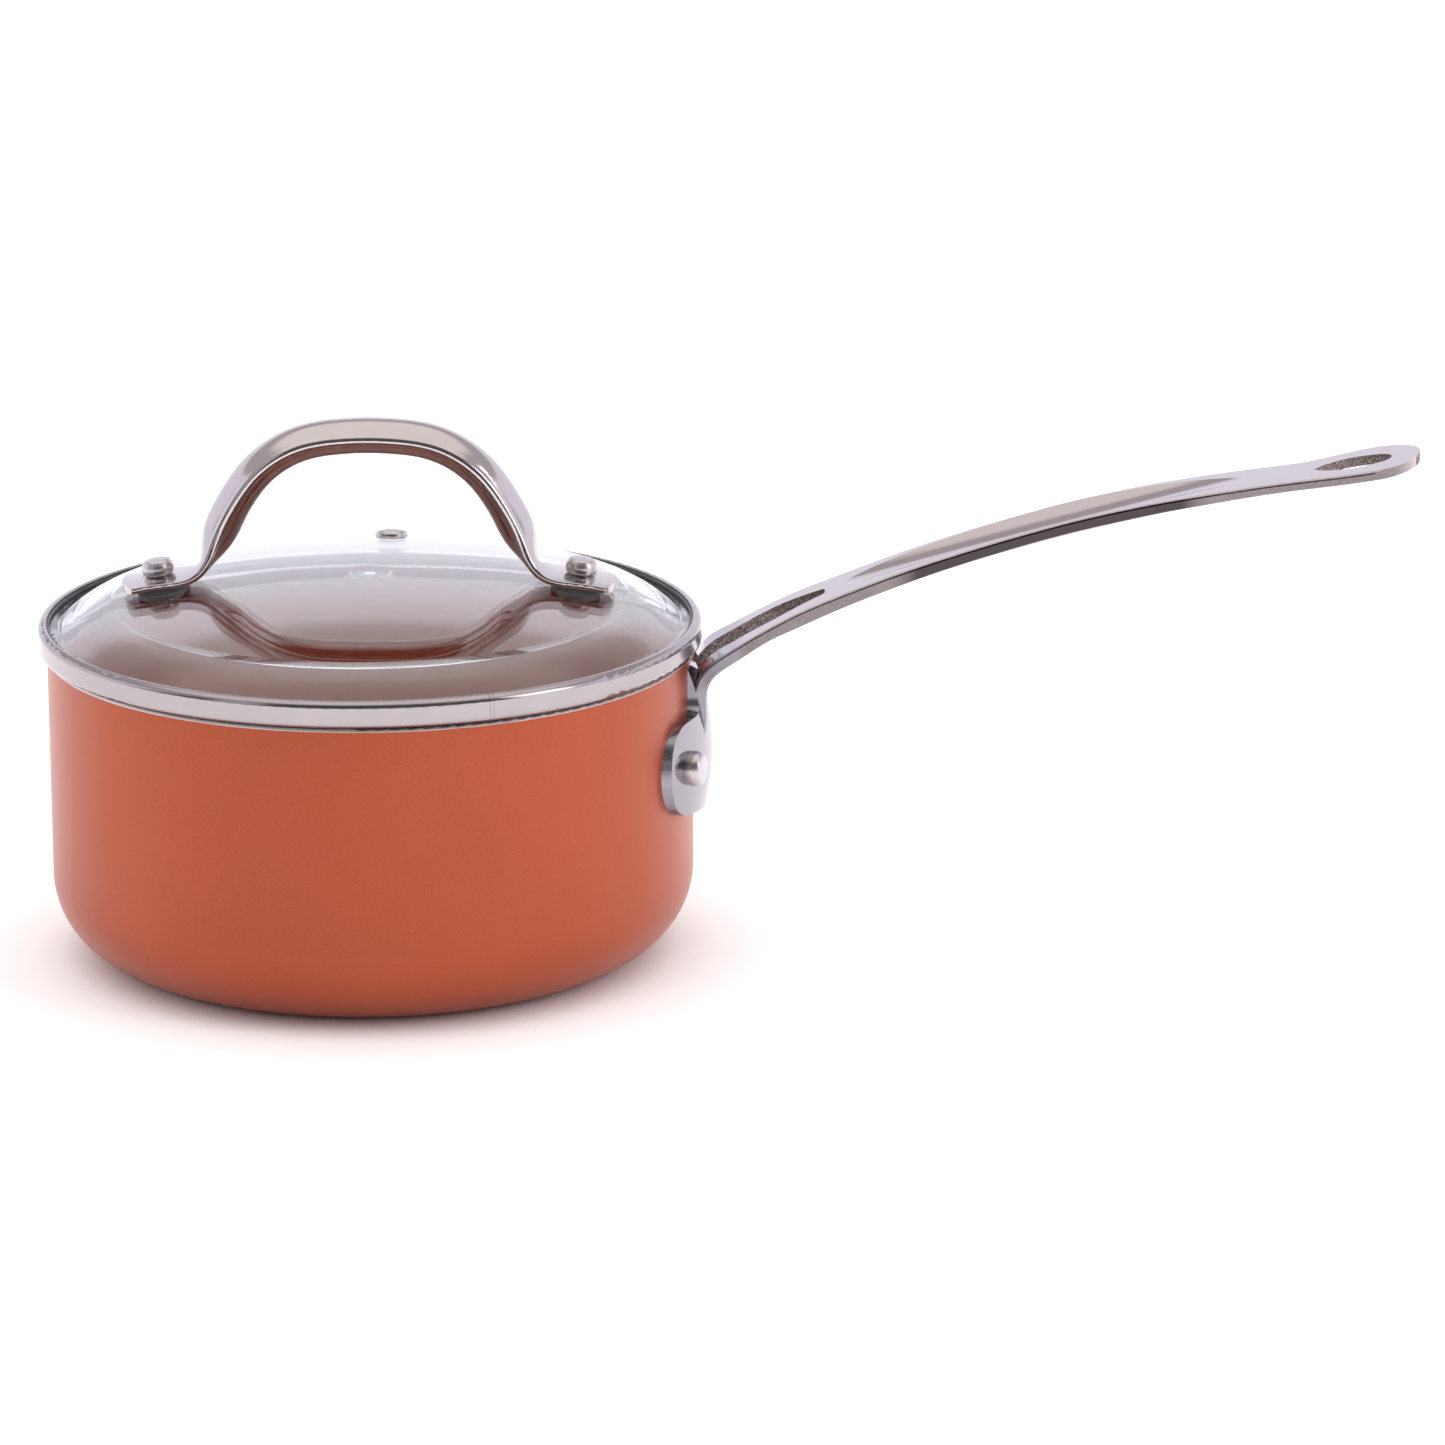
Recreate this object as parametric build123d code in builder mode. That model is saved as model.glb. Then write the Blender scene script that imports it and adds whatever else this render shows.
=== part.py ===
"""Saucepan with a glass lid: coated aluminium pan, cast steel handle, steel-rimmed tempered glass lid.

Frame: origin on the pan's axis at the underside, +Z up, the long handle along +X. Millimetres.
"""
import os
from math import asin, atan2, cos, hypot, pi, radians, sin, sqrt, tan

from build123d import *

os.makedirs("parts", exist_ok=True)

# ---- pan ----
PAN_R = 82.4            # outside radius of the wall
PAN_H = 79.5            # height of the rim above the table
WALL = 2.4              # wall thickness
FLOOR_TOP = 4.0         # height of the cooking surface
CORNER_R = 21.4         # outside radius between wall and base
RIM_ROUND = 0.7         # rounding of the bare rim
INNER_R = PAN_R - WALL

# ---- steel disc pressed into the underside ----
DISC_R = 56.0
DISC_T = 1.0
GROOVE_RADII = (14.0, 28.0, 42.0)
GROOVE_W = 1.6
GROOVE_D = 0.3

# ---- long handle ----
PAD_BALL_R = 64.0       # radius of the crowned outer face of the riveted pad
PAD_BALL_X = 23.8       # centre of that crown from the pan's axis
PAD_Z = 52.0            # height of the middle of the pad
NECK_X = 84.1           # mid-plane of the plate where it stands against the wall
NECK_BEND_R = 9.0       # mid-plane radius of the bend away from the wall
NECK_SLOPE = 31.1       # degrees, rise of the neck above its bend
NECK_T = 3.3            # thickness of the neck
NECK_END = (97.0, 81.8)     # mid-plane of the neck where it starts to turn upright
NECK_JOIN = (102.0, 84.6)   # and where it runs into the arm
NECK_STEP = 6.5         # spacing of the sections down the wall
# half width of the neck: three sections on the wall, two round the bend, then up to the arm
NECK_HALVES = (15.8, 16.0, 16.0, 15.7, 14.9, 13.9, 13.1, 12.4)
ARM_TOP_EDGE = 0.7      # rounding of the arm's upper long edges
ARM_LOW_EDGE = 0.5      # and of its lower ones
# front outline of pad and neck, right half, from the neck's top to the middle of the pad's
# bottom edge, with the rounding of each corner
PAD_OUTLINE = (
    (15.6, 77.0, 0.0), (16.3, 65.4, 4.0), (33.6, 65.0, 9.5),
    (36.3, 52.4, 12.0), (33.2, 42.0, 10.0), (0.0, 37.3, 60.0),
)
# stations along the arm: distance from the axis, height of the top edges, half width,
# height of the side faces, and how far the belly hangs below them
ARM_STATIONS = (
    (107.0, 88.9, 11.9, 3.8, 0.0),
    (118.0, 93.6, 11.0, 3.7, 0.0),
    (130.0, 98.3, 10.7, 3.5, 0.4),
    (142.0, 102.6, 10.7, 3.2, 1.4),
    (154.0, 106.5, 10.7, 3.0, 2.4),
    (166.0, 110.1, 10.7, 2.9, 2.9),
    (178.0, 113.4, 10.7, 2.9, 2.9),
    (190.0, 116.2, 10.7, 2.9, 2.5),
    (202.0, 118.6, 10.7, 2.8, 1.6),
    (213.0, 120.4, 10.6, 2.7, 0.6),
    (223.0, 121.9, 10.3, 2.6, 0.0),
    (232.0, 123.1, 10.0, 2.5, 0.0),
    (240.0, 124.2, 10.4, 2.5, 0.0),
    (248.0, 125.6, 12.0, 2.5, 0.0),
    (256.0, 127.1, 12.9, 2.5, 0.0),
    (264.0, 128.8, 12.9, 2.5, 0.0),
    (272.0, 130.5, 12.9, 2.5, 0.0),
)
# thumb dish: where it starts and ends along the arm, its depth and its half width
DISH_START, DISH_END = 121.0, 222.0
DISH_D = 2.9
DISH_HALF = 9.6
FLAT_SAG = 0.02         # sag that stands for flat, so that every section has the same edges
TIP_X = 267.0           # end of the handle
TIP_R = 12.7            # rounding of the end in plan
EYE_START, EYE_END = 240.0, 259.8   # hanging eye, from its pointed end to its round end
EYE_HALF = 5.3          # half width of the eye, this far from its pointed end
EYE_WIDE = 8.6
EYE_END_HALF = 4.3      # half width where its round end starts
EYE_END_LENGTH = 3.6
SLOT_END_X = 116.0      # narrow end of the slot that forks the neck
SLOT_TAPER_X = 104.0    # where its sides start to close in
SLOT_HALF = 6.0         # half width of the slot
SLOT_END_HALF = 2.4     # half width at its narrow end
SLOT_LOW_Z = 67.5       # lowest point of the slot, above the pad

# ---- handle rivets ----
RIVET_ANGLE = 18.4      # to each side of the handle's centreline
RIVET_Z = 53.6
RIVET_R = 2.5           # shank
RIVET_HEAD_R, RIVET_HEAD_H = 4.5, 3.6
RIVET_INNER_R, RIVET_INNER_H = 5.6, 1.8
RIVET_PAD_T = 3.7       # thickness of the pad at the rivets
RIVET_SEAT = 2.6        # from the wall, inside the pad's crown everywhere under the head

# ---- lid ring and seal ----
RING_R = 84.7           # outside radius
RING_TOP = 86.8
RING_LOW = 80.0         # underside, just clear of the pan's rim
RING_T = 0.7            # sheet thickness
RING_ROUND = 1.8        # rounding of its outer edges
CHANNEL_ROUND = RING_ROUND - RING_T
LIP_R = 82.4            # inner edge of the top lip
SKIRT_R = 78.9          # outside of the skirt that drops into the pan
SKIRT_LOW = 75.6
SEAL_T = 0.6
SEAL_LIP_R = 81.7       # inner edge of the seal's upper lip

# ---- lid glass ----
FLANGE_TOP = RING_TOP - RING_T - SEAL_T
FLANGE_LOW = RING_LOW + RING_T + SEAL_T
FLANGE_R = RING_R - RING_T - SEAL_T
GLASS_T = FLANGE_TOP - FLANGE_LOW
GLASS_APEX = 98.3       # height of the middle of the dome
DOME_R = 350.0          # radius of the dome's outer face
SHOULDER_R = 71.5       # where the dome turns down
FOOT_R = 80.4           # where it turns out into the flange
SHOULDER_ROUND = 30.0   # rounding of the outer face at the shoulder
FOOT_ROUND = 4.0        # and at the foot

# ---- lid handle, measured along the normal of the dome at its rivets ----
LID_RIVET_X = 53.2      # lid rivets from the lid's axis
TAB_GASKET_T = 1.3      # gasket between glass and tab
TAB_GASKET_LENGTH = 13.0
TAB_GASKET_INSET = 1.2  # how far it stays inside the tab's long edges
TAB_CLEARANCE = 0.15    # left between that gasket and the tab
TAB_SIDE = 1.5          # height of a tab's side faces
TAB_CROWN = 0.7         # how far its middle stands above them
TAB_HALF = 9.0          # half width of a tab
TAB_END_X = 63.0
TAB_END_R = 15.0        # rounding of the tab's end in plan
TAB_SEAT = 0.2          # depth of the flat that a rivet head seats on
FOOT_BEND_R = 9.0       # mid-line radius between leg and tab
LEG_SLOPE = 66.5        # degrees
FOOT_CORNER_X = 42.7    # where leg and tab would meet unrounded
ARCH_TOP = 133.8        # height of the mid-line at the top of the arch
# the arch's mid-line: degrees that it has turned down by the end of each arc, and the arc's radius;
# the last arc, which runs into the leg, takes the radius that meets it
ARCH_ARCS = ((8.0, 83.6), (55.0, 28.7))
TAB_GASKET_SHIFT = 0.6  # gaskets sit this far towards the middle from their rivets

# ---- lid rivets and what is under the glass ----
LID_RIVET_R = 2.0
LID_HEAD_R, LID_HEAD_H = 4.0, 4.3
LID_HOLE_R = 2.6        # hole in the glass
LOWER_GASKET_R, LOWER_GASKET_T = 6.2, 1.0
WASHER_R, WASHER_T = 5.2, 0.9
CLINCH_R, CLINCH_H = 3.4, 1.3

# ---- steam vent ----
VENT_X, VENT_Y = 3.0, 59.5
VENT_HOLE_R = 1.7
VENT_TUBE_R = 2.5
VENT_GLASS_R = 2.8       # hole in the glass
VENT_FLANGE_R, VENT_FLANGE_H = 4.3, 1.3
VENT_WASHER_R, VENT_WASHER_T = 4.6, 0.8
VENT_FLARE_R, VENT_FLARE_H = 3.5, 0.8

DOME_CENTRE = (0, 0, GLASS_APEX - DOME_R)
FAR = 400.0             # longer than anything here, for cutting tools


def save(piece, name):
    """Label one finished piece and write it as its own STEP file."""
    piece.part.label = name
    export_step(piece.part, f"parts/{name}.step")


def corners(sketch, *points):
    """The sketch's corners at the given points of its own plane."""
    return sketch.vertices().filter_by(lambda v: any(hypot(v.X - x, v.Y - y) < 0.01 for x, y in points))


def dome_z(r, below=0.0):
    """Height at radius r of the dome's outer face, or of a face parallel to it below."""
    return GLASS_APEX - DOME_R + sqrt((DOME_R - below) ** 2 - r**2)


def dome_plane(x, y=0.0, above=0.0):
    """Plane parallel to the dome's outer face over (x, y), with its normal out of the glass."""
    centre = Vector(*DOME_CENTRE)
    point = Vector(x, y, dome_z(hypot(x, y)))
    normal = (point - centre).normalized()
    return Plane(origin=point + normal * above, x_dir=(0, 1, 0), z_dir=normal)


def rivet_plane(angle):
    """Plane square to a handle rivet, with its origin on the pan's axis."""
    direction = (cos(radians(angle)), sin(radians(angle)), 0)
    return Plane(origin=(0, 0, RIVET_Z), x_dir=(0, 0, 1), z_dir=direction)


# ---------------------------------------------------------------- pan body
with BuildPart() as pan_body:
    with BuildSketch(Plane.XZ) as pan_section:
        with BuildLine():
            Polyline(
                (0, DISC_T), (DISC_R, DISC_T), (DISC_R, 0), (PAN_R, 0), (PAN_R, PAN_H),
                (INNER_R, PAN_H), (INNER_R, FLOOR_TOP), (0, FLOOR_TOP), close=True,
            )
        make_face()
        fillet(corners(pan_section, (PAN_R, 0)), CORNER_R)
        fillet(corners(pan_section, (INNER_R, FLOOR_TOP)), CORNER_R - WALL)
        fillet(corners(pan_section, (PAN_R, PAN_H), (INNER_R, PAN_H)), RIM_ROUND)
    revolve(axis=Axis.Z)
    for angle in (-RIVET_ANGLE, RIVET_ANGLE):
        with BuildSketch(rivet_plane(angle)):
            Circle(RIVET_R)
        extrude(amount=PAN_R + 5, mode=Mode.SUBTRACT)
save(pan_body, "pan_body")

# ---------------------------------------------------------------- base disc
with BuildPart() as base_disc:
    with BuildSketch():
        Circle(DISC_R)
    extrude(amount=DISC_T)
    with BuildSketch():
        for radius in GROOVE_RADII:
            Circle(radius + GROOVE_W / 2)
            Circle(radius - GROOVE_W / 2, mode=Mode.SUBTRACT)
    extrude(amount=GROOVE_D, mode=Mode.SUBTRACT)
save(base_disc, "base_disc")

# ---------------------------------------------------------------- long handle
def front_outline():
    """Outline of pad and neck as seen along the arm, with its corners rounded."""
    right = [(y, z) for y, z, _ in PAD_OUTLINE]
    left = [(-y, z) for y, z in reversed(right[:-1])]
    with BuildSketch(Plane.YZ) as outline:
        with BuildLine():
            Polyline(*right, *left, close=True)
        make_face()
        for y, z, rounding in PAD_OUTLINE:
            if rounding:
                fillet(corners(outline, (y, z), (-y, z)), rounding)
    return outline.sketch


def arm_section(x, z, tilt, half, side, belly):
    """Cross-section of neck or arm with its middle at (x, z): flat top, upright sides, bellied underside."""
    facing = (cos(radians(tilt)), 0, sin(radians(tilt)))
    high, low = side / 2, -side / 2
    with BuildSketch(Plane(origin=(x, 0, z), x_dir=(0, 1, 0), z_dir=facing)) as section:
        with BuildLine():
            ThreePointArc((-half, high), (0, high + FLAT_SAG), (half, high))
            Line((half, high), (half, low))
            ThreePointArc((half, low), (0, low - max(belly, FLAT_SAG)), (-half, low))
            Line((-half, low), (-half, high))
        make_face()
        fillet(corners(section, (half, high), (-half, high)), ARM_TOP_EDGE)
        fillet(corners(section, (half, low), (-half, low)), ARM_LOW_EDGE)
    return section.sketch


def neck_stations():
    """Sections of the neck: up the wall, round the bend, and turning upright towards the arm."""
    rise = radians(NECK_SLOPE)
    end_x, end_z = NECK_END
    corner_z = end_z - (end_x - NECK_X) * tan(rise)
    reach = NECK_BEND_R * tan((pi / 2 - rise) / 2)
    half_turn = (pi / 2 - rise) / 2
    low_z = corner_z - reach
    bend_end = (NECK_X + reach * cos(rise), corner_z + reach * sin(rise))
    middle = ((bend_end[0] + end_x) / 2, (bend_end[1] + end_z) / 2)
    bend_middle = (NECK_X + NECK_BEND_R * (1 - cos(half_turn)), low_z + NECK_BEND_R * sin(half_turn))
    path = (
        (NECK_X, low_z - 2 * NECK_STEP, 90.0), (NECK_X, low_z - NECK_STEP, 90.0), (NECK_X, low_z, 90.0),
        (*bend_middle, 90.0 - half_turn * 180 / pi), (*bend_end, NECK_SLOPE), (*middle, NECK_SLOPE * 0.75),
        (*NECK_END, NECK_SLOPE * 0.5), (*NECK_JOIN, NECK_SLOPE * 0.2),
    )
    return [(*place, half, NECK_T, 0.0) for place, half in zip(path, NECK_HALVES)]


def dish_cutter():
    """Ring-shaped tool whose underside leaves a shallow dish with pointed ends in the arm's top."""
    chord = hypot(DISH_END - DISH_START, top_at(DISH_END) - top_at(DISH_START))
    rise = atan2(top_at(DISH_END) - top_at(DISH_START), DISH_END - DISH_START)
    middle_x = (DISH_START + DISH_END) / 2
    bottom_z = top_at(middle_x) - DISH_D
    sagitta = (bottom_z - (top_at(DISH_START) + top_at(DISH_END)) / 2) * cos(rise)
    sweep_r = (chord / 2) ** 2 / (2 * sagitta)
    minor_r = (DISH_HALF**2 + DISH_D**2) / (2 * DISH_D)
    centre = (middle_x + sweep_r * sin(rise), 0, bottom_z - sweep_r * cos(rise))
    with BuildPart() as cutter:
        with Locations(Plane(origin=centre, x_dir=(1, 0, 0), z_dir=(0, 1, 0))):
            Torus(sweep_r + minor_r, minor_r)
        with Locations((middle_x, 0, bottom_z)):
            Box(DISH_END - DISH_START + 12, 4 * DISH_HALF, 60, mode=Mode.INTERSECT)
    return cutter.part


def top_at(x):
    """Height of the arm's top edges at a distance from the axis."""
    for left, right in zip(ARM_STATIONS, ARM_STATIONS[1:]):
        if left[0] <= x <= right[0]:
            return left[1] + (right[1] - left[1]) * (x - left[0]) / (right[0] - left[0])


with BuildPart() as long_handle:
    # pad: the front outline, between the pan's wall and a crowned outer face
    extrude(front_outline(), amount=FAR)
    with Locations((PAD_BALL_X, 0, PAD_Z)):
        Sphere(PAD_BALL_R, mode=Mode.INTERSECT)
    # neck and arm
    arm = [(x, top - side / 2, 0.0, half, side, belly) for x, top, half, side, belly in ARM_STATIONS]
    loft([arm_section(*station) for station in neck_stations() + arm])
    Cylinder(PAN_R, FAR, mode=Mode.SUBTRACT)
    add(dish_cutter(), mode=Mode.SUBTRACT)
    # rounded end of the arm
    with BuildSketch() as beyond_tip:
        with Locations((TIP_X, 0)):
            Rectangle(2 * TIP_R, FAR)
        with Locations((TIP_X - TIP_R, 0)):
            Circle(TIP_R, mode=Mode.SUBTRACT)
    extrude(amount=FAR, mode=Mode.SUBTRACT)
    # hanging eye
    with BuildSketch():
        with BuildLine():
            widest, turn_x = EYE_START + EYE_WIDE, EYE_END - EYE_END_LENGTH
            ThreePointArc((EYE_START, 0), (widest, EYE_HALF), (turn_x, EYE_END_HALF))
            ThreePointArc((turn_x, EYE_END_HALF), (EYE_END, 0), (turn_x, -EYE_END_HALF))
            ThreePointArc((turn_x, -EYE_END_HALF), (widest, -EYE_HALF), (EYE_START, 0))
        make_face()
    extrude(amount=FAR, mode=Mode.SUBTRACT)
    # slot: narrowing to a round end along the arm, with another round end down the neck
    with BuildSketch(Plane.XY.offset(SLOT_LOW_Z + SLOT_HALF)) as slot:
        with BuildLine():
            Polyline(
                (PAN_R - 8, -SLOT_HALF), (SLOT_TAPER_X, -SLOT_HALF), (SLOT_END_X, -SLOT_END_HALF),
                (SLOT_END_X, SLOT_END_HALF), (SLOT_TAPER_X, SLOT_HALF), (PAN_R - 8, SLOT_HALF), close=True,
            )
        make_face()
        fillet(corners(slot, (SLOT_END_X, -SLOT_END_HALF), (SLOT_END_X, SLOT_END_HALF)), SLOT_END_HALF * 0.7)
        fillet(corners(slot, (SLOT_TAPER_X, -SLOT_HALF), (SLOT_TAPER_X, SLOT_HALF)), 2 * SLOT_HALF)
    extrude(amount=FAR, mode=Mode.SUBTRACT)
    with BuildSketch(Plane.YZ):
        with Locations((0, SLOT_LOW_Z + SLOT_HALF)):
            Circle(SLOT_HALF)
    extrude(amount=SLOT_TAPER_X, mode=Mode.SUBTRACT)
    for angle in (-RIVET_ANGLE, RIVET_ANGLE):
        with BuildSketch(rivet_plane(angle)):
            Circle(RIVET_R)
        extrude(amount=FAR, mode=Mode.SUBTRACT)
save(long_handle, "long_handle")

# ---------------------------------------------------------------- handle rivets
def rivet_profile_plane(angle):
    """Plane through a handle rivet's axis: its local x runs outwards from the pan's axis."""
    return Plane(origin=(0, 0, RIVET_Z), x_dir=(cos(radians(angle)), sin(radians(angle)), 0), z_dir=(0, 0, 1))


HEAD_SEAT = PAN_R + RIVET_SEAT
HEAD_TOP = PAN_R + RIVET_PAD_T + RIVET_HEAD_H

for side, angle in (("front", -RIVET_ANGLE), ("rear", RIVET_ANGLE)):
    plane = rivet_profile_plane(angle)
    rivet_axis = Axis(plane.origin, plane.x_dir)
    with BuildPart() as outer_head:
        with BuildSketch(plane):
            with BuildLine():
                Line((HEAD_SEAT, 0), (HEAD_SEAT, RIVET_HEAD_R - 0.4))
                ThreePointArc(
                    (HEAD_SEAT, RIVET_HEAD_R - 0.4), (HEAD_TOP - 2.4, RIVET_HEAD_R),
                    (HEAD_TOP - 1.0, RIVET_HEAD_R - 0.3),
                )
                ThreePointArc(
                    (HEAD_TOP - 1.0, RIVET_HEAD_R - 0.3), (HEAD_TOP - 0.4, RIVET_HEAD_R - 0.8),
                    (HEAD_TOP - 0.2, RIVET_HEAD_R - 1.6),
                )
                Line((HEAD_TOP - 0.2, RIVET_HEAD_R - 1.6), (HEAD_TOP, 0))
                Line((HEAD_TOP, 0), (HEAD_SEAT, 0))
            make_face()
        revolve(axis=rivet_axis)
        with Locations((PAD_BALL_X, 0, PAD_Z)):
            Sphere(PAD_BALL_R, mode=Mode.SUBTRACT)
    with BuildPart() as handle_rivet:
        # shallow domed head inside the pan, seated on the round wall
        with BuildSketch(plane):
            with BuildLine():
                crown = INNER_R - RIVET_INNER_H
                ThreePointArc((crown, 0), (crown + 0.25, RIVET_INNER_R / 2), (INNER_R - 0.7, RIVET_INNER_R))
                Line((INNER_R - 0.7, RIVET_INNER_R), (PAN_R, RIVET_INNER_R))
                Line((PAN_R, RIVET_INNER_R), (PAN_R, 0))
                Line((PAN_R, 0), (crown, 0))
            make_face()
        revolve(axis=rivet_axis)
        Cylinder(INNER_R, FAR, mode=Mode.INTERSECT)
        # shank
        with BuildSketch(rivet_plane(angle).offset(INNER_R - 1)):
            Circle(RIVET_R)
        extrude(amount=HEAD_TOP - INNER_R)
        add(outer_head.part)
    save(handle_rivet, f"handle_rivet_{side}")

# ---------------------------------------------------------------- lid ring
with BuildPart() as lid_ring:
    with BuildSketch(Plane.XZ) as ring_section:
        with BuildLine():
            Polyline(
                (LIP_R, RING_TOP), (RING_R, RING_TOP), (RING_R, RING_LOW), (SKIRT_R, RING_LOW),
                (SKIRT_R, SKIRT_LOW), (SKIRT_R - RING_T, SKIRT_LOW), (SKIRT_R - RING_T, RING_LOW + RING_T),
                (RING_R - RING_T, RING_LOW + RING_T), (RING_R - RING_T, RING_TOP - RING_T),
                (LIP_R, RING_TOP - RING_T), close=True,
            )
        make_face()
        inside_r, ledge = RING_R - RING_T, RING_LOW + RING_T
        fillet(corners(ring_section, (RING_R, RING_TOP), (RING_R, RING_LOW)), RING_ROUND)
        fillet(corners(ring_section, (inside_r, RING_TOP - RING_T), (inside_r, ledge)), CHANNEL_ROUND)
        fillet(corners(ring_section, (SKIRT_R - RING_T, ledge)), 1.1)
        fillet(corners(ring_section, (SKIRT_R, RING_LOW)), 0.4)
        ends = corners(
            ring_section, (LIP_R, RING_TOP), (LIP_R, RING_TOP - RING_T),
            (SKIRT_R, SKIRT_LOW), (SKIRT_R - RING_T, SKIRT_LOW),
        )
        fillet(ends, RING_T * 0.45)
    revolve(axis=Axis.Z)
save(lid_ring, "lid_ring")

# ---------------------------------------------------------------- lid seal
with BuildPart() as lid_seal:
    with BuildSketch(Plane.XZ) as seal_section:
        with BuildLine():
            Polyline(
                (SEAL_LIP_R, FLANGE_TOP), (SEAL_LIP_R, RING_TOP - RING_T), (RING_R - RING_T, RING_TOP - RING_T),
                (RING_R - RING_T, RING_LOW + RING_T), (SKIRT_R, RING_LOW + RING_T), (SKIRT_R, FLANGE_LOW),
                (FLANGE_R, FLANGE_LOW), (FLANGE_R, FLANGE_TOP), close=True,
            )
        make_face()
        fillet(corners(seal_section, (inside_r, RING_TOP - RING_T), (inside_r, ledge)), CHANNEL_ROUND)
    revolve(axis=Axis.Z)
save(lid_seal, "lid_seal")

# ---------------------------------------------------------------- lid glass
slope = atan2(dome_z(SHOULDER_R) - FLANGE_TOP, FOOT_R - SHOULDER_R)
lean = asin(SHOULDER_R / DOME_R)
inner_foot = FOOT_R - GLASS_T * tan(slope / 2)
inner_shoulder = SHOULDER_R - GLASS_T * (sin(lean) + cos(lean) * tan((slope - lean) / 2))
with BuildPart() as lid_glass:
    with BuildSketch(Plane.XZ) as glass_section:
        with BuildLine():
            RadiusArc((0, GLASS_APEX), (SHOULDER_R, dome_z(SHOULDER_R)), DOME_R)
            Polyline(
                (SHOULDER_R, dome_z(SHOULDER_R)), (FOOT_R, FLANGE_TOP), (FLANGE_R, FLANGE_TOP),
                (FLANGE_R, FLANGE_LOW), (inner_foot, FLANGE_LOW),
                (inner_shoulder, dome_z(inner_shoulder, GLASS_T)),
            )
            RadiusArc(
                (inner_shoulder, dome_z(inner_shoulder, GLASS_T)), (0, GLASS_APEX - GLASS_T),
                GLASS_T - DOME_R,
            )
            Line((0, GLASS_APEX - GLASS_T), (0, GLASS_APEX))
        make_face()
        fillet(corners(glass_section, (SHOULDER_R, dome_z(SHOULDER_R))), SHOULDER_ROUND)
        inside_shoulder = corners(glass_section, (inner_shoulder, dome_z(inner_shoulder, GLASS_T)))
        fillet(inside_shoulder, SHOULDER_ROUND - GLASS_T)
        fillet(corners(glass_section, (FOOT_R, FLANGE_TOP)), FOOT_ROUND)
        fillet(corners(glass_section, (inner_foot, FLANGE_LOW)), FOOT_ROUND + GLASS_T)
    revolve(axis=Axis.Z)
    for x in (-LID_RIVET_X, LID_RIVET_X):
        with BuildSketch(dome_plane(x).offset(-2 * GLASS_T)):
            Circle(LID_HOLE_R)
        extrude(amount=4 * GLASS_T, mode=Mode.SUBTRACT)
    with BuildSketch(dome_plane(VENT_X, VENT_Y).offset(-2 * GLASS_T)):
        Circle(VENT_GLASS_R)
    extrude(amount=4 * GLASS_T, mode=Mode.SUBTRACT)
save(lid_glass, "lid_glass")

# ---------------------------------------------------------------- lid handle
def handle_section(x, z, turn, half, side, side_bulge, crown, belly):
    """Cross-section of the lid handle square to its mid-line, turned down by an angle in degrees."""
    direction = Vector(cos(radians(turn)), 0, -sin(radians(turn)))
    with BuildSketch(Plane(origin=(x, 0, z), x_dir=(0, 1, 0), z_dir=direction)) as section:
        with BuildLine():
            straight, low, high = half - side_bulge, -side / 2, side / 2
            ThreePointArc((-straight, high), (0, high + crown), (straight, high))
            ThreePointArc((straight, high), (half, 0), (straight, low))
            ThreePointArc((straight, low), (0, low - belly), (-straight, low))
            ThreePointArc((-straight, low), (-half, 0), (-straight, high))
        make_face()
        fillet(section.vertices(), side * 0.2)
    return section.sketch


def mirrored(station):
    """The same station on the other leg."""
    x, z, turn = station[:3]
    return (-x, z, -turn, *station[3:])


tab = dome_plane(LID_RIVET_X)
tab_slope = asin(LID_RIVET_X / DOME_R)
tab_mid = tab.origin + tab.z_dir * (TAB_GASKET_T + TAB_SIDE / 2 + FLAT_SAG)
leg = radians(LEG_SLOPE)
corner_z = tab_mid.Z + (LID_RIVET_X - FOOT_CORNER_X) * tan(tab_slope)
bend = FOOT_BEND_R * tan((leg - tab_slope) / 2)
leg_end = (FOOT_CORNER_X - bend * cos(leg), corner_z + bend * sin(leg))


def arc_end(start, end_turn, radius):
    """Where an arc of the mid-line ends: its start is (x, z, turn), with turns in degrees."""
    x, z, turn = start
    first, last = radians(turn), radians(end_turn)
    return (x + radius * (sin(last) - sin(first)), z - radius * (cos(first) - cos(last)), end_turn)


shoulder_end = (0.0, ARCH_TOP, 0.0)
for arc_turn, arc_radius in ARCH_ARCS:
    shoulder_end = arc_end(shoulder_end, arc_turn, arc_radius)
spare = FOOT_CORNER_X - (shoulder_end[1] - corner_z) / tan(leg) - shoulder_end[0]
last_turn = radians(shoulder_end[2])
last_radius = spare / (sin(leg) - sin(last_turn) - (cos(last_turn) - cos(leg)) / tan(leg))


def arch_point(turn):
    """Mid-line point of the arch where it has turned down by an angle in degrees."""
    point = (0.0, ARCH_TOP, 0.0)
    for arc_turn, arc_radius in (*ARCH_ARCS, (LEG_SLOPE, last_radius)):
        point = arc_end(point, min(turn, arc_turn), arc_radius)
        if turn <= arc_turn:
            break
    return point


def bend_point(share):
    """Mid-line point of the bend between leg and tab, from 0 at the leg to 1 at the tab."""
    turn = leg + share * (tab_slope - leg)
    x = leg_end[0] + FOOT_BEND_R * (sin(leg) - sin(turn))
    z = leg_end[1] - FOOT_BEND_R * (cos(turn) - cos(leg))
    return (x, z, turn * 180 / pi)


def tab_point(along):
    """Mid-line point of the tab, measured from its rivet."""
    point = tab_mid + Vector(cos(tab_slope), 0, -sin(tab_slope)) * along
    return (point.X, point.Z, tab_slope * 180 / pi)


# half width, side, side bulge, crown, belly
ARCH_SECTION = (7.5, 3.1, 1.2, 3.0, 3.0)
TAB_SECTION = (TAB_HALF, TAB_SIDE, 0.15, TAB_CROWN, FLAT_SAG)


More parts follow.
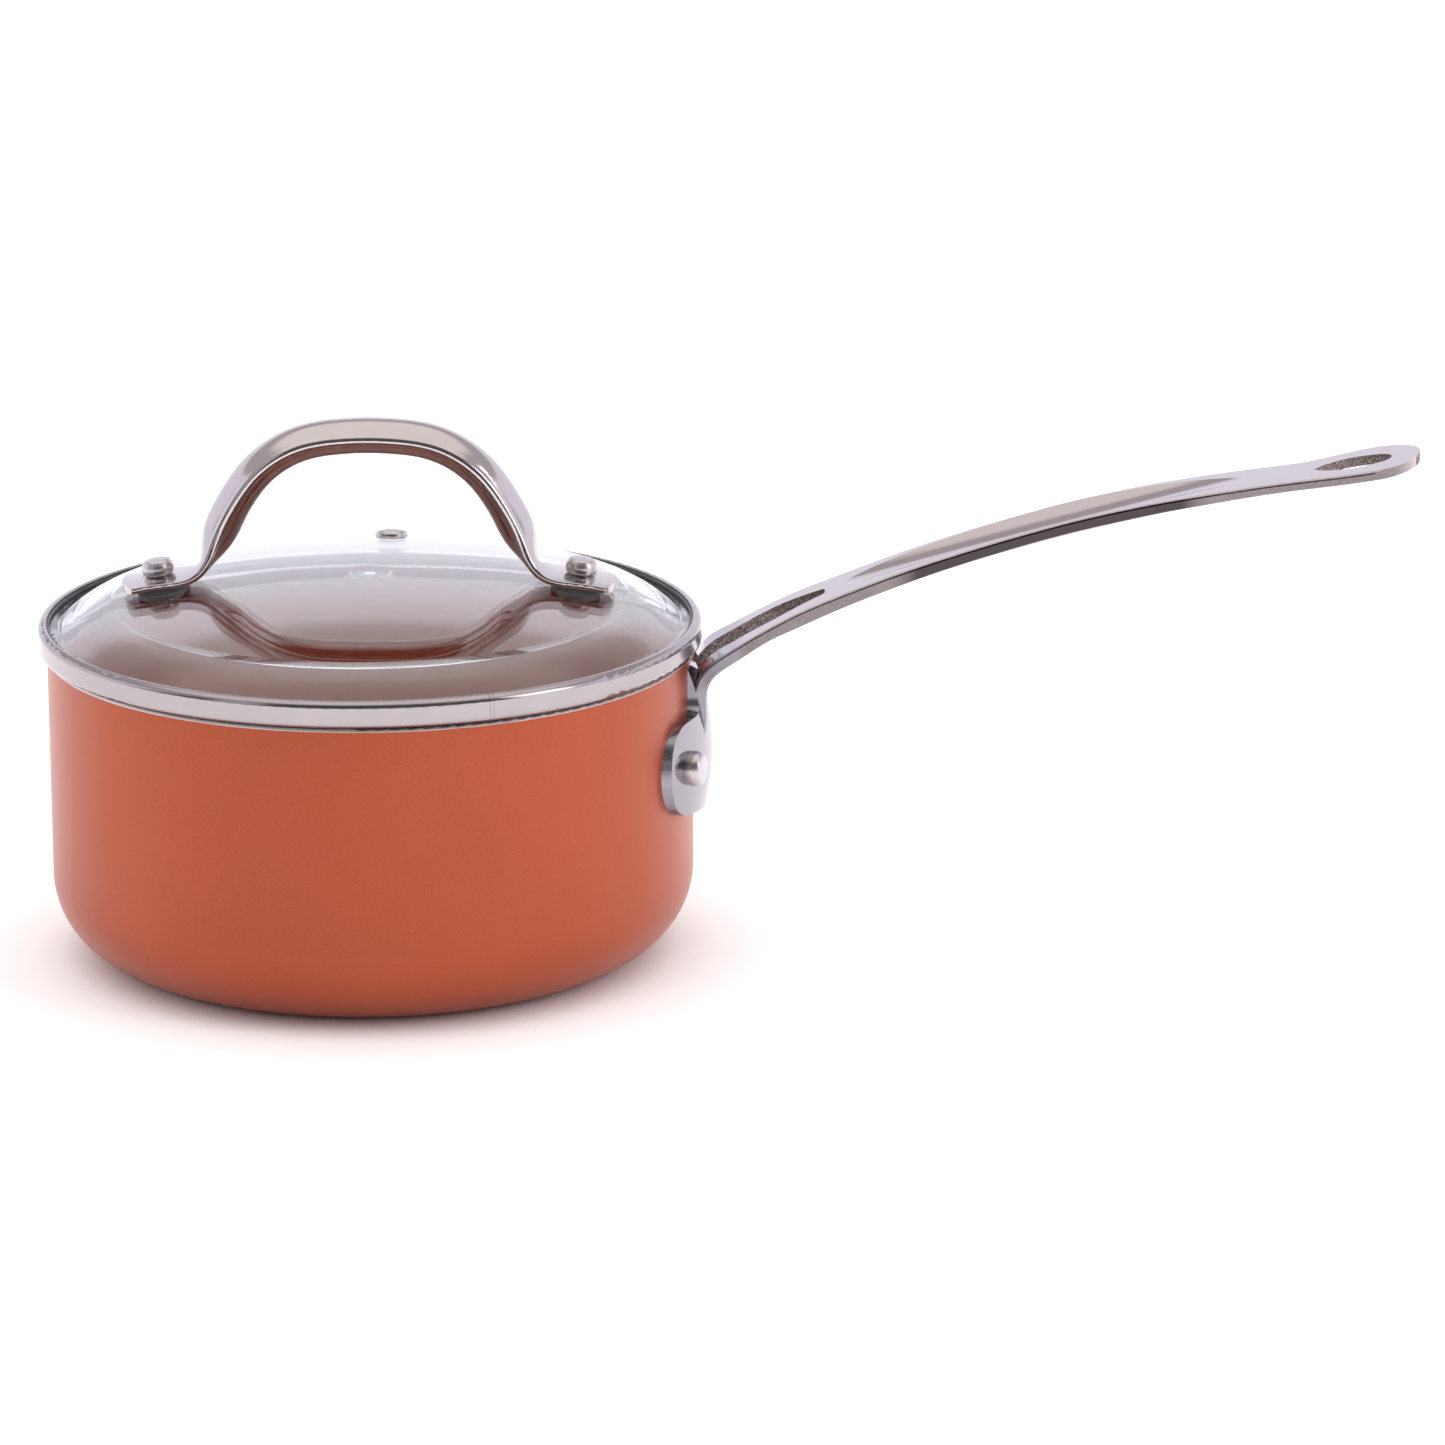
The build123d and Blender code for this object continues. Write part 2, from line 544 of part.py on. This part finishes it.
def flattened(share):
    """Section of the handle on its way from the full bar, 0, to the flat tab, 1."""
    eased = share * share * (3 - 2 * share)
    return tuple(full + eased * (flat - full) for full, flat in zip(ARCH_SECTION, TAB_SECTION))


leg_start = arch_point(LEG_SLOPE)
half_leg = ((leg_start[0] + leg_end[0]) / 2, (leg_start[1] + leg_end[1]) / 2, LEG_SLOPE)
right_leg = [(*arch_point(turn), *ARCH_SECTION) for turn in (4, 8, 18, 28, 38, 48, 55, 61)]
right_leg += [
    (*leg_start, *flattened(0.06)),
    (*half_leg, *flattened(0.31)),
    (*bend_point(0), *flattened(0.57)),
    (*bend_point(0.5), *flattened(0.79)),
    (*bend_point(1), *flattened(1)),
    *((*tab_point(along), *TAB_SECTION) for along in (-1, 4, 9, 14)),
]
stations = [mirrored(station) for station in reversed(right_leg)]
stations += [(*arch_point(0), *ARCH_SECTION), *right_leg]
with BuildPart() as lid_handle:
    loft([handle_section(*station) for station in stations])
    with BuildSketch() as beyond_tabs:
        for sign in (-1, 1):
            with Locations((sign * TAB_END_X, 0)):
                Rectangle(TAB_END_R, FAR)
            with Locations((sign * (TAB_END_X - TAB_END_R), 0)):
                Circle(TAB_END_R, mode=Mode.SUBTRACT)
    extrude(amount=FAR, mode=Mode.SUBTRACT)
    for x in (-LID_RIVET_X, LID_RIVET_X):
        seat = TAB_GASKET_T + TAB_SIDE + TAB_CROWN - TAB_SEAT
        with BuildSketch(dome_plane(x).offset(seat)):
            Circle(LID_HEAD_R + 0.2)
        extrude(amount=TAB_SIDE, mode=Mode.SUBTRACT)
        with BuildSketch(dome_plane(x)):
            Circle(LID_RIVET_R)
        extrude(amount=2 * LID_HEAD_H, mode=Mode.SUBTRACT)
save(lid_handle, "lid_handle")

# ---------------------------------------------------------------- lid gaskets, rivets and washers
for side, x in (("left", -LID_RIVET_X), ("right", LID_RIVET_X)):
    over = dome_plane(x)
    inner_glass = over.offset(-GLASS_T)
    with BuildPart() as tab_gasket:
        with BuildSketch(over.offset(-1)):
            inward = -TAB_GASKET_SHIFT if side == "left" else TAB_GASKET_SHIFT
            with Locations((0, inward)):
                RectangleRounded(2 * (TAB_HALF - TAB_GASKET_INSET), TAB_GASKET_LENGTH, 5)
            Circle(LID_RIVET_R, mode=Mode.SUBTRACT)
        extrude(amount=1 + TAB_GASKET_T - TAB_CLEARANCE)
        with Locations(DOME_CENTRE):
            Sphere(DOME_R, mode=Mode.SUBTRACT)
    save(tab_gasket, f"lid_handle_gasket_{side}")

    with BuildPart() as lower_gasket:
        with BuildSketch(inner_glass.offset(-LOWER_GASKET_T)):
            Circle(LOWER_GASKET_R)
            Circle(LID_RIVET_R, mode=Mode.SUBTRACT)
        extrude(amount=LOWER_GASKET_T + 1)
        with Locations(DOME_CENTRE):
            Sphere(DOME_R - GLASS_T, mode=Mode.INTERSECT)
        fillet(lower_gasket.faces().sort_by(Axis.Z)[0].outer_wire().edges(), 0.3)
    save(lower_gasket, f"lid_lower_gasket_{side}")

    washer_top = -GLASS_T - LOWER_GASKET_T
    with BuildPart() as washer:
        with BuildSketch(over.offset(washer_top - WASHER_T)):
            Circle(WASHER_R)
            Circle(LID_RIVET_R, mode=Mode.SUBTRACT)
        extrude(amount=WASHER_T)
        fillet(washer.faces().sort_by(Axis.Z)[0].outer_wire().edges(), 0.4)
    save(washer, f"lid_washer_{side}")

    head_low = TAB_GASKET_T + TAB_SIDE + TAB_CROWN - TAB_SEAT
    head_top = head_low + LID_HEAD_H
    clinch_top = washer_top - WASHER_T
    profile_plane = Plane(origin=over.origin, x_dir=over.z_dir, z_dir=(0, 1, 0))
    with BuildPart() as lid_rivet:
        with BuildSketch(profile_plane):
            with BuildLine():
                Polyline((head_low, LID_RIVET_R), (head_low, LID_HEAD_R - 0.7))
                ThreePointArc(
                    (head_low, LID_HEAD_R - 0.7), (head_low + 2.6, LID_HEAD_R), (head_top - 0.9, LID_HEAD_R - 0.4),
                )
                ThreePointArc(
                    (head_top - 0.9, LID_HEAD_R - 0.4), (head_top - 0.4, LID_HEAD_R - 0.8),
                    (head_top - 0.2, LID_HEAD_R - 1.5),
                )
                Polyline((head_top - 0.2, LID_HEAD_R - 1.5), (head_top, 0), (clinch_top - CLINCH_H, 0))
                ThreePointArc(
                    (clinch_top - CLINCH_H, 0), (clinch_top - CLINCH_H * 0.8, CLINCH_R * 0.6),
                    (clinch_top - 0.3, CLINCH_R),
                )
                Polyline(
                    (clinch_top - 0.3, CLINCH_R), (clinch_top, CLINCH_R), (clinch_top, LID_RIVET_R),
                    (head_low, LID_RIVET_R),
                )
            make_face()
        revolve(axis=Axis(over.origin, over.z_dir))
    save(lid_rivet, f"lid_rivet_{side}")

# ---------------------------------------------------------------- steam vent
vent = dome_plane(VENT_X, VENT_Y)
vent_low = -GLASS_T - VENT_WASHER_T
vent_profile = Plane(origin=vent.origin, x_dir=vent.z_dir, z_dir=vent.x_dir)
with BuildPart() as vent_eyelet:
    with BuildSketch(vent_profile):
        with BuildLine():
            Polyline((VENT_FLANGE_H - 0.5, VENT_HOLE_R), (vent_low - VENT_FLARE_H, VENT_HOLE_R))
            ThreePointArc(
                (vent_low - VENT_FLARE_H, VENT_HOLE_R), (vent_low - VENT_FLARE_H + 0.2, 2.8),
                (vent_low, VENT_FLARE_R),
            )
            Polyline(
                (vent_low, VENT_FLARE_R), (vent_low, VENT_TUBE_R), (-0.3, VENT_TUBE_R), (-0.3, VENT_FLANGE_R),
                (0.3, VENT_FLANGE_R),
            )
            ThreePointArc((0.3, VENT_FLANGE_R), (VENT_FLANGE_H, 3.0), (VENT_FLANGE_H - 0.5, VENT_HOLE_R))
        make_face()
    revolve(axis=Axis(vent.origin, vent.z_dir))
    with BuildSketch(vent.offset(-1)):
        Circle(VENT_FLANGE_R + 1)
        Circle(VENT_TUBE_R, mode=Mode.SUBTRACT)
    extrude(amount=1, mode=Mode.SUBTRACT)
save(vent_eyelet, "vent_eyelet")

with BuildPart() as vent_washer:
    with BuildSketch(vent.offset(vent_low)):
        Circle(VENT_WASHER_R)
        Circle(VENT_TUBE_R, mode=Mode.SUBTRACT)
    extrude(amount=VENT_WASHER_T)
    with Locations(DOME_CENTRE):
        Sphere(DOME_R - GLASS_T, mode=Mode.INTERSECT)
    fillet(vent_washer.faces().sort_by(Axis.Z)[0].outer_wire().edges(), 0.3)
save(vent_washer, "vent_washer")
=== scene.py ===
"""Looks for the saucepan with a glass lid: its materials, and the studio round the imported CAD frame."""
from math import radians

import bpy
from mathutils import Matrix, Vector


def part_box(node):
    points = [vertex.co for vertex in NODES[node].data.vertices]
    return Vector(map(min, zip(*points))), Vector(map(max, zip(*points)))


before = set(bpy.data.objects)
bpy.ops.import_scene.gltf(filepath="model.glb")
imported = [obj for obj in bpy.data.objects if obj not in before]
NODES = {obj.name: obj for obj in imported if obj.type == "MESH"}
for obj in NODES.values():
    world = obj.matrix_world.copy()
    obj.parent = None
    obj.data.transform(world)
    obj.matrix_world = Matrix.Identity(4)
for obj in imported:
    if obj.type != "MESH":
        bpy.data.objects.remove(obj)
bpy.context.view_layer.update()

# ---- places on the part, in metres, on the frame's own axes ----
PAN_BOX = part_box("pan_body")
PAN_TOP = PAN_BOX[1].z
PAN_RADIUS = PAN_BOX[1].x
CORNER_R = 0.0214           # outside radius between wall and base
WALL = 0.0024
RIM_BARE = 0.0009           # height of the bare metal left at the rim
RIM_FADE = 0.0001           # height over which the paint gives out there
RIM_WANDER = 0.00006        # how far that edge strays from a level line
SEAM_ANGLE = -67.0          # degrees about Z, where the lid ring's ends are welded
SEAM_HALF = 0.0005          # from the middle of the weld to either of its two hairlines
HAIRLINE = (0.00005, 0.00018)               # half width of a hairline, at full strength and faded out
SLOT_HALF = 0.0063          # half width that holds the neck's slot and the hanging eye
NECK_SLOT_LOW = 0.066       # the slot lies above this height
PAD_END, PAD_FADE = 0.096, 0.003            # the pad and most of the neck are duller than the arm
NECK_END = 0.1              # about where the leaning neck turns into the level arm
POLISH_AND_REFLECTION_START, POLISH_AND_REFLECTION_END = 0.127, 0.218     # stretch of the arm whose sides are polished, and there painted with a dark reflection of the room in front
POLISH_AND_REFLECTION_FADE = 0.012

# ---- colours on screen, from 0 to 255 ----
PAINT_DARK, PAINT_LIGHT, PAINT_FLAKE = (158, 66, 37), (165, 72, 41), (204, 108, 68)
CERAMIC, CERAMIC_SPECK = (172, 84, 54), (186, 104, 76)
BARE_RIM = (196, 188, 188)
INDUCTION_STEEL = (198, 192, 190)
RIVET_STEEL = (204, 199, 202)
HANDLE_STEEL = (200, 193, 194)
RING_STEEL, RING_WELD = (176, 169, 171), (120, 104, 98)
ARM_STEEL, PAD_STEEL = (188, 180, 182), (158, 153, 161)
GROUND_DARK, GROUND_LIGHT = (124, 116, 116), (150, 142, 142)
# painted reflection: the dark room in front, as the polished sides of the arm would mirror it
PAINTED_DARK_REFLECTION = (74, 68, 70)
CAST_DARK, CAST_LIGHT = (92, 80, 76), (190, 182, 180)
GLASS = (252, 254, 253)
BLACK_SILICONE = (78, 81, 82), (90, 93, 94)
CLEAR_SILICONE = (222, 224, 226), (236, 238, 240)
PAPER_DARK, PAPER_LIGHT = (252, 252, 253), (254, 254, 254)

# ---- the studio, in metres; the world's colours are linear ----
BACKDROP = (1.08, 1.06, 1.18, 1)
GAP = (0.62, 0.58, 0.6, 1)
CEILING = (1.16, 1.1, 1.07, 1)
ROOM = (0.13, 0.12, 0.13, 1)
GAP_STEP, CEILING_STEP = (0.44, 0.5), (0.7, 0.82)   # Z of a direction where each soft step runs
ROOM_STEP = (-0.35, 0.15)   # Y of a direction where the dark room gives way to the lit side
ROOM_LEAN = 0.5             # how much of Z is added to that Y, so the lit side reaches forward overhead
FLOOR_HALF = 8.0
FLOOR_Z = -0.0002           # just under the base, so the two faces never share a plane
LIGHTS_AIM = (0, 0, 0.06)
CAMERA_PLACE = (0.0746, -1.5116, 0.4806)
CAMERA_DIP, CAMERA_TURN = 15.62, -0.58      # degrees below level, and about Z from the Y axis
CAMERA_LENS, CAMERA_SENSOR = 152.3, 36.0    # millimetres


# ---------------------------------------------------------------- node helpers
MIX_SOCKETS = {"FLOAT": (2, 3, 0), "RGBA": (6, 7, 2)}       # a Mix node's two inputs and its output


class Graph:
    """Short calls for the nodes of a new material or world."""

    def __init__(self, owner, last):
        owner.use_nodes = True
        self.owner = owner
        self.nodes = owner.node_tree.nodes
        self.links = owner.node_tree.links
        self.last = self.nodes[last]

    def add(self, kind, *inputs, out=0, **settings):
        node = self.nodes.new(kind)
        for key, value in settings.items():
            setattr(node, key, value)
        for index, value in enumerate(inputs):
            if value is not None:
                self.feed(node.inputs[index], value)
        return node.outputs[out]

    def feed(self, socket, value):
        if isinstance(value, bpy.types.NodeSocket):
            self.links.new(value, socket)
        else:
            socket.default_value = value

    def set(self, **values):
        """Feed the last node's sockets, each named with _ for a space, and give back the owner."""
        for key, value in values.items():
            self.feed(self.last.inputs[key.replace("_", " ")], value)
        return self.owner

    def math(self, operation, *inputs):
        return self.add("ShaderNodeMath", *inputs, operation=operation)

    def product(self, first, *others):
        for other in others:
            first = self.math("MULTIPLY", first, other)
        return first

    def hypotenuse(self, first, second):
        squares = [self.math("POWER", side, 2.0) for side in (first, second)]
        return self.math("SQRT", self.math("ADD", *squares))

    def place(self):
        """Position on the part, in metres."""
        return self.add("ShaderNodeTexCoord", out="Object")

    def facing(self):
        """The surface normal, on the part's own axes."""
        return self.add("ShaderNodeTexCoord", out="Normal")

    def axes(self, vector):
        node = self.nodes.new("ShaderNodeSeparateXYZ")
        self.links.new(vector, node.inputs[0])
        return node.outputs

    def radius(self, axes):
        """Distance from the pan's axis."""
        return self.hypotenuse(axes["X"], axes["Y"])

    def noise(self, scale, vector=None, detail=3.0, rough=0.55):
        return self.add("ShaderNodeTexNoise", vector or self.place(), None, scale, detail, rough)

    def stretched(self, factors):
        """Position scaled by three factors, to draw a grain out along an axis."""
        node = self.nodes.new("ShaderNodeMapping")
        self.links.new(self.place(), node.inputs["Vector"])
        node.inputs["Scale"].default_value = factors
        return node.outputs[0]

    def remap(self, value, low, high, to_low=0.0, to_high=1.0, shape="LINEAR"):
        return self.add(
            "ShaderNodeMapRange", value, low, high, to_low, to_high, interpolation_type=shape,
        )

    def blend(self, kind, factor, first, second):
        node = self.nodes.new("ShaderNodeMix")
        node.data_type = kind
        low, high, result = MIX_SOCKETS[kind]
        self.feed(node.inputs["Factor"], factor)
        self.feed(node.inputs[low], first)
        self.feed(node.inputs[high], second)
        return node.outputs[result]

    def mix(self, factor, first, second):
        """Colour from first to second."""
        return self.blend("RGBA", factor, first, second)

    def lerp(self, factor, first, second):
        """Number from first to second."""
        return self.blend("FLOAT", factor, first, second)

    def bump(self, height, distance):
        node = self.nodes.new("ShaderNodeBump")
        node.inputs["Distance"].default_value = distance
        self.links.new(height, node.inputs["Height"])
        return node.outputs[0]


def surface(name):
    """A new material, ready for its nodes."""
    return Graph(bpy.data.materials.new(name), "Principled BSDF")


def rgb(screen):
    """Screen colour as a linear one."""
    def linear(value):
        value /= 255
        return value / 12.92 if value <= 0.04045 else ((value + 0.055) / 1.055) ** 2.4
    return (*[linear(value) for value in screen], 1.0)


def circular_grain(graph, scale, fine):
    """Noise drawn out round the pan's axis, as spinning and polishing leave it."""
    axes = graph.axes(graph.place())
    rings = graph.add("ShaderNodeCombineXYZ", graph.radius(axes), 0.0, axes["Z"])
    return graph.noise(scale, rings, detail=fine)


# ---------------------------------------------------------------- pan
def pan_inside(graph, axes):
    """1 on the cooking surface and 0 outside: the mid-line of the wall divides them."""
    centre_r = PAN_RADIUS - CORNER_R
    centre_z = CORNER_R + WALL / 2
    across = graph.math("MAXIMUM", graph.math("SUBTRACT", graph.radius(axes), centre_r), 0.0)
    down = graph.math("MAXIMUM", graph.math("SUBTRACT", centre_z, axes["Z"]), 0.0)
    return graph.math("LESS_THAN", graph.hypotenuse(across, down), CORNER_R - WALL / 2)


def pan_material():
    """Satin copper paint outside, a bare turned rim, and a brown ceramic coating inside."""
    g = surface("copper_paint")
    axes = g.axes(g.place())
    inside = pan_inside(g, axes)
    edge = g.math("ADD", axes["Z"], g.remap(g.noise(90), 0.3, 0.7, -RIM_WANDER, RIM_WANDER))
    rim = g.remap(edge, PAN_TOP - RIM_BARE, PAN_TOP - RIM_BARE + RIM_FADE)
    clouds = g.noise(14, detail=2.0)
    flakes = g.noise(5200, detail=1.0)
    paint = g.mix(g.remap(clouds, 0.35, 0.65), rgb(PAINT_DARK), rgb(PAINT_LIGHT))
    paint = g.mix(g.remap(flakes, 0.35, 0.75, 0.0, 0.35), paint, rgb(PAINT_FLAKE))
    specks = g.remap(g.noise(2600, detail=2.0), 0.62, 0.72)
    ceramic = g.mix(specks, rgb(CERAMIC), rgb(CERAMIC_SPECK))
    colour = g.mix(inside, paint, ceramic)
    colour = g.mix(rim, colour, rgb(BARE_RIM))
    rough = g.lerp(inside, g.remap(flakes, 0.3, 0.7, 0.36, 0.46), 0.42)
    rough = g.lerp(rim, rough, 0.42)
    metal = g.lerp(inside, 0.72, 0.0)
    metal = g.lerp(rim, metal, 1.0)
    skin = g.bump(g.math("ADD", flakes, g.math("MULTIPLY", g.noise(420), 2.0)), 0.000004)
    return g.set(
        Base_Color=colour, Metallic=metal, Roughness=rough, Normal=skin,
        Coat_Weight=g.lerp(inside, 0.22, 0.0), Coat_Roughness=0.16, Coat_IOR=1.5,
    )


# ---------------------------------------------------------------- steels
def steel(name, colour, rough, grain, depth):
    """Bare steel whose roughness wanders a little, with a grain of this depth in metres."""
    g = surface(name)
    grain = grain(g)
    smudge = g.remap(g.noise(38, detail=4.0), 0.35, 0.7, rough * 0.8, rough * 1.25)
    streak = g.remap(grain, 0.3, 0.7, -rough * 0.25, rough * 0.25)
    darker = [value - 6 for value in colour]
    g.set(
        Base_Color=g.mix(g.remap(g.noise(60), 0.3, 0.7), rgb(darker), rgb(colour)),
        Metallic=1.0, Roughness=g.math("ADD", smudge, streak), Normal=g.bump(grain, depth),
    )
    return g


def base_disc_material():
    """Induction steel, turned in fine rings."""
    def turned(graph):
        return circular_grain(graph, 3000, 3.0)
    return steel("induction_steel", INDUCTION_STEEL, 0.28, turned, 0.00001).owner


def rivet_material():
    """Satin, slightly pitted rivet steel."""
    def pitted(graph):
        return graph.noise(2400, detail=3.0)
    return steel("rivet_steel", RIVET_STEEL, 0.3, pitted, 0.000025).owner


def handle_steel_material():
    """Polished lid handle, buffed along its length."""
    def buffed(graph):
        return graph.noise(520, graph.stretched((0.25, 1.0, 0.25)), detail=3.0)
    return steel("handle_steel", HANDLE_STEEL, 0.1, buffed, 0.000003).owner


def ring_material():
    """Spun lid ring, with the two hairlines of its butt weld."""
    def spun(graph):
        return circular_grain(graph, 2600, 2.0)
    g = steel("polished_steel", RING_STEEL, 0.16, spun, 0.000003)
    axes = g.axes(g.place())
    turn = g.math("SUBTRACT", g.math("ARCTAN2", axes["Y"], axes["X"]), radians(SEAM_ANGLE))
    offset = g.math("ABSOLUTE", g.math("MULTIPLY", turn, PAN_RADIUS))
    line = g.math("ABSOLUTE", g.math("SUBTRACT", offset, SEAM_HALF))
    weld = g.remap(line, *HAIRLINE, 0.55, 0.0)
    shade = g.last.inputs["Base Color"].links[0].from_socket
    return g.set(Base_Color=g.mix(weld, shade, rgb(RING_WELD)))


def cast_walls(graph, place, facing):
    """1 on the walls of the neck's slot and of the hanging eye, which are left as cast."""
    end_on, level = [graph.math("ABSOLUTE", facing[axis]) for axis in "XZ"]
    middle = graph.math("LESS_THAN", graph.math("ABSOLUTE", place["Y"]), SLOT_HALF)
    arm = graph.math("GREATER_THAN", place["X"], NECK_END)
    neck = graph.math("SUBTRACT", 1.0, arm)
    high = graph.math("GREATER_THAN", place["Z"], NECK_SLOT_LOW)
    arm_walls = graph.product(arm, graph.math("LESS_THAN", level, 0.55))
    neck_walls = graph.product(neck, graph.math("LESS_THAN", end_on, 0.3), high)
    return graph.product(middle, graph.math("MAXIMUM", arm_walls, neck_walls))


def long_handle_material():
    """Cast steel: buffed top, ground sides, and as-cast walls; along the arm the sides are polished and
    painted with a dark reflection of the room in front.
    """
    g = surface("cast_steel")
    place = g.axes(g.place())
    facing = g.axes(g.facing())
    cast = cast_walls(g, place, facing)
    side = g.remap(g.math("ABSOLUTE", facing["Y"]), 0.55, 0.9)
    polish_in = g.remap(place["X"], POLISH_AND_REFLECTION_START, POLISH_AND_REFLECTION_START + POLISH_AND_REFLECTION_FADE)
    polish_out = g.remap(place["X"], POLISH_AND_REFLECTION_END - POLISH_AND_REFLECTION_FADE, POLISH_AND_REFLECTION_END, 1.0, 0.0)
    # the polished stretch of the sides, which also carries the painted dark reflection
    polish_and_painted_reflection = g.product(side, polish_in, polish_out)
    ground = g.math("SUBTRACT", side, polish_and_painted_reflection)
    pad = g.remap(place["X"], PAD_END - PAD_FADE, PAD_END, 1.0, 0.0)
    grit = g.noise(1500, detail=3.0)
    coarse = g.noise(2600, detail=2.0, rough=0.7)
    buffed = g.noise(260, g.stretched((0.12, 1.0, 1.0)), detail=3.0)
    rough = g.remap(buffed, 0.3, 0.7, 0.05, 0.11)
    rough = g.lerp(ground, rough, g.remap(grit, 0.3, 0.7, 0.26, 0.4))
    rough = g.lerp(cast, rough, g.remap(coarse, 0.35, 0.7, 0.35, 0.6))
    ground_shade = g.mix(g.remap(grit, 0.3, 0.7), rgb(GROUND_DARK), rgb(GROUND_LIGHT))
    cast_shade = g.mix(g.remap(coarse, 0.45, 0.7), rgb(CAST_DARK), rgb(CAST_LIGHT))
    colour = g.mix(ground, rgb(ARM_STEEL), ground_shade)
    colour = g.mix(pad, colour, rgb(PAD_STEEL))
    # painted reflection: the polished sides take a dark colour in place of bare steel, standing for the
    # dark room they mirror
    colour = g.mix(polish_and_painted_reflection, colour, rgb(PAINTED_DARK_REFLECTION))
    colour = g.mix(cast, colour, cast_shade)
    height = g.product(grit, g.lerp(ground, 0.02, 1.0))
    height = g.math("ADD", height, g.product(coarse, cast, 4.0))
    return g.set(Base_Color=colour, Metallic=1.0, Roughness=rough, Normal=g.bump(height, 0.00002))


# ---------------------------------------------------------------- glass, silicone and paper
def glass_material():
    """Clear tempered glass with a faint wiped haze."""
    g = surface("tempered_glass")
    return g.set(
        Base_Color=rgb(GLASS), IOR=1.5, Transmission_Weight=1.0,
        Roughness=g.remap(g.noise(22, detail=4.0), 0.5, 0.85, 0.0, 0.018),
        Normal=g.bump(g.noise(30, detail=1.0), 0.00001),
    )


def silicone_material(name, shades, rough, clear=0.0):
    """Moulded silicone with a fine matt skin."""
    g = surface(name)
    skin = g.noise(1800, detail=2.0)
    dark, light = [rgb(shade) for shade in shades]
    return g.set(
        Base_Color=g.mix(g.remap(g.noise(120), 0.3, 0.7), dark, light),
        Roughness=g.remap(skin, 0.3, 0.7, rough - 0.05, rough + 0.05),
        Normal=g.bump(skin, 0.00001), Transmission_Weight=clear, IOR=1.41,
    )


def floor_material():
    """Matt pale studio paper."""
    g = surface("studio_paper")
    return g.set(Base_Color=g.mix(g.noise(6), rgb(PAPER_DARK), rgb(PAPER_LIGHT)), Roughness=0.9)


# ---------------------------------------------------------------- assembly
def dress(material, *names):
    """Give each named CAD node one finished material."""
    for name in names:
        for slot in NODES[name].material_slots:
            slot.material = material


def dress_all():
    """Give every CAD node its material."""
    black = silicone_material("black_silicone", BLACK_SILICONE, 0.45)
    clear = silicone_material("clear_silicone", CLEAR_SILICONE, 0.35, 0.6)
    rivet = rivet_material()
    dress(pan_material(), "pan_body")
    dress(base_disc_material(), "base_disc")
    dress(long_handle_material(), "long_handle")
    dress(ring_material(), "lid_ring")
    dress(handle_steel_material(), "lid_handle")
    dress(glass_material(), "lid_glass")
    dress(black, "lid_seal")
    dress(rivet, "handle_rivet_front", "handle_rivet_rear", "vent_eyelet", "vent_washer")
    for side in ("left", "right"):
        dress(rivet, f"lid_rivet_{side}", f"lid_washer_{side}")
        dress(black, f"lid_handle_gasket_{side}")
        dress(clear, f"lid_lower_gasket_{side}")


def add_object(name, data):
    """Put a mesh, a light or a camera into the scene."""
    added = bpy.data.objects.new(name, data)
    bpy.context.scene.collection.objects.link(added)
    return added


def add_floor():
    """A wide flat sheet under the part."""
    signs = ((-1, -1), (1, -1), (1, 1), (-1, 1))
    corners = [(FLOOR_HALF * x, FLOOR_HALF * y, FLOOR_Z) for x, y in signs]
    mesh = bpy.data.meshes.new("floor")
    mesh.from_pydata(corners, [], [(0, 1, 2, 3)])
    mesh.materials.append(floor_material())
    add_object("floor", mesh)


def add_world():
    """A studio: bright backdrop, a dim gap above it, a warm overhead sheet, and a dark room in front."""
    g = Graph(bpy.data.worlds.new("studio"), "Background")
    axes = g.axes(g.add("ShaderNodeTexCoord", out="Generated"))

    def soft_step(value, limits):
        return g.remap(value, *limits, shape="SMOOTHSTEP")

    lit = g.mix(soft_step(axes["Z"], GAP_STEP), BACKDROP, GAP)
    lit = g.mix(soft_step(axes["Z"], CEILING_STEP), lit, CEILING)
    forward = g.math("MULTIPLY_ADD", axes["Z"], ROOM_LEAN, axes["Y"])
    bpy.context.scene.world = g.set(Color=g.mix(soft_step(forward, ROOM_STEP), ROOM, lit))


def add_fill():
    """Even light from above for the paper and the shaded sides, too soft to show in the steel."""
    light = bpy.data.lights.new("fill", "SUN")
    light.energy = 2.1
    light.angle = radians(150)
    fill = add_object("fill", light)
    fill.visible_glossy = False


def add_softbox(name, place, size, power):
    """A rectangular lamp turned towards the part, which the camera does not see."""
    light = bpy.data.lights.new(name, "AREA")
    light.shape = "RECTANGLE"
    light.size, light.size_y = size
    light.energy = power
    box = add_object(name, light)
    box.location = place
    box.rotation_euler = (Vector(LIGHTS_AIM) - Vector(place)).to_track_quat("-Z", "Y").to_euler()
    box.visible_camera = False


def add_lights():
    add_world()
    add_fill()
    add_softbox("right_softbox", (1.5, -0.75, 0.75), (0.7, 1.1), 6)
    add_softbox("left_softbox", (-1.15, -1.2, 0.75), (0.5, 1.0), 1)


def add_camera():
    camera = bpy.data.cameras.new("camera")
    camera.lens = CAMERA_LENS
    camera.sensor_width = CAMERA_SENSOR
    camera.clip_end = 50.0
    shot = add_object("camera", camera)
    shot.location = CAMERA_PLACE
    shot.rotation_euler = (radians(90 - CAMERA_DIP), 0, radians(CAMERA_TURN))
    bpy.context.scene.camera = shot


dress_all()
add_floor()
add_lights()
add_camera()
bpy.context.scene.view_settings.view_transform = "Standard"
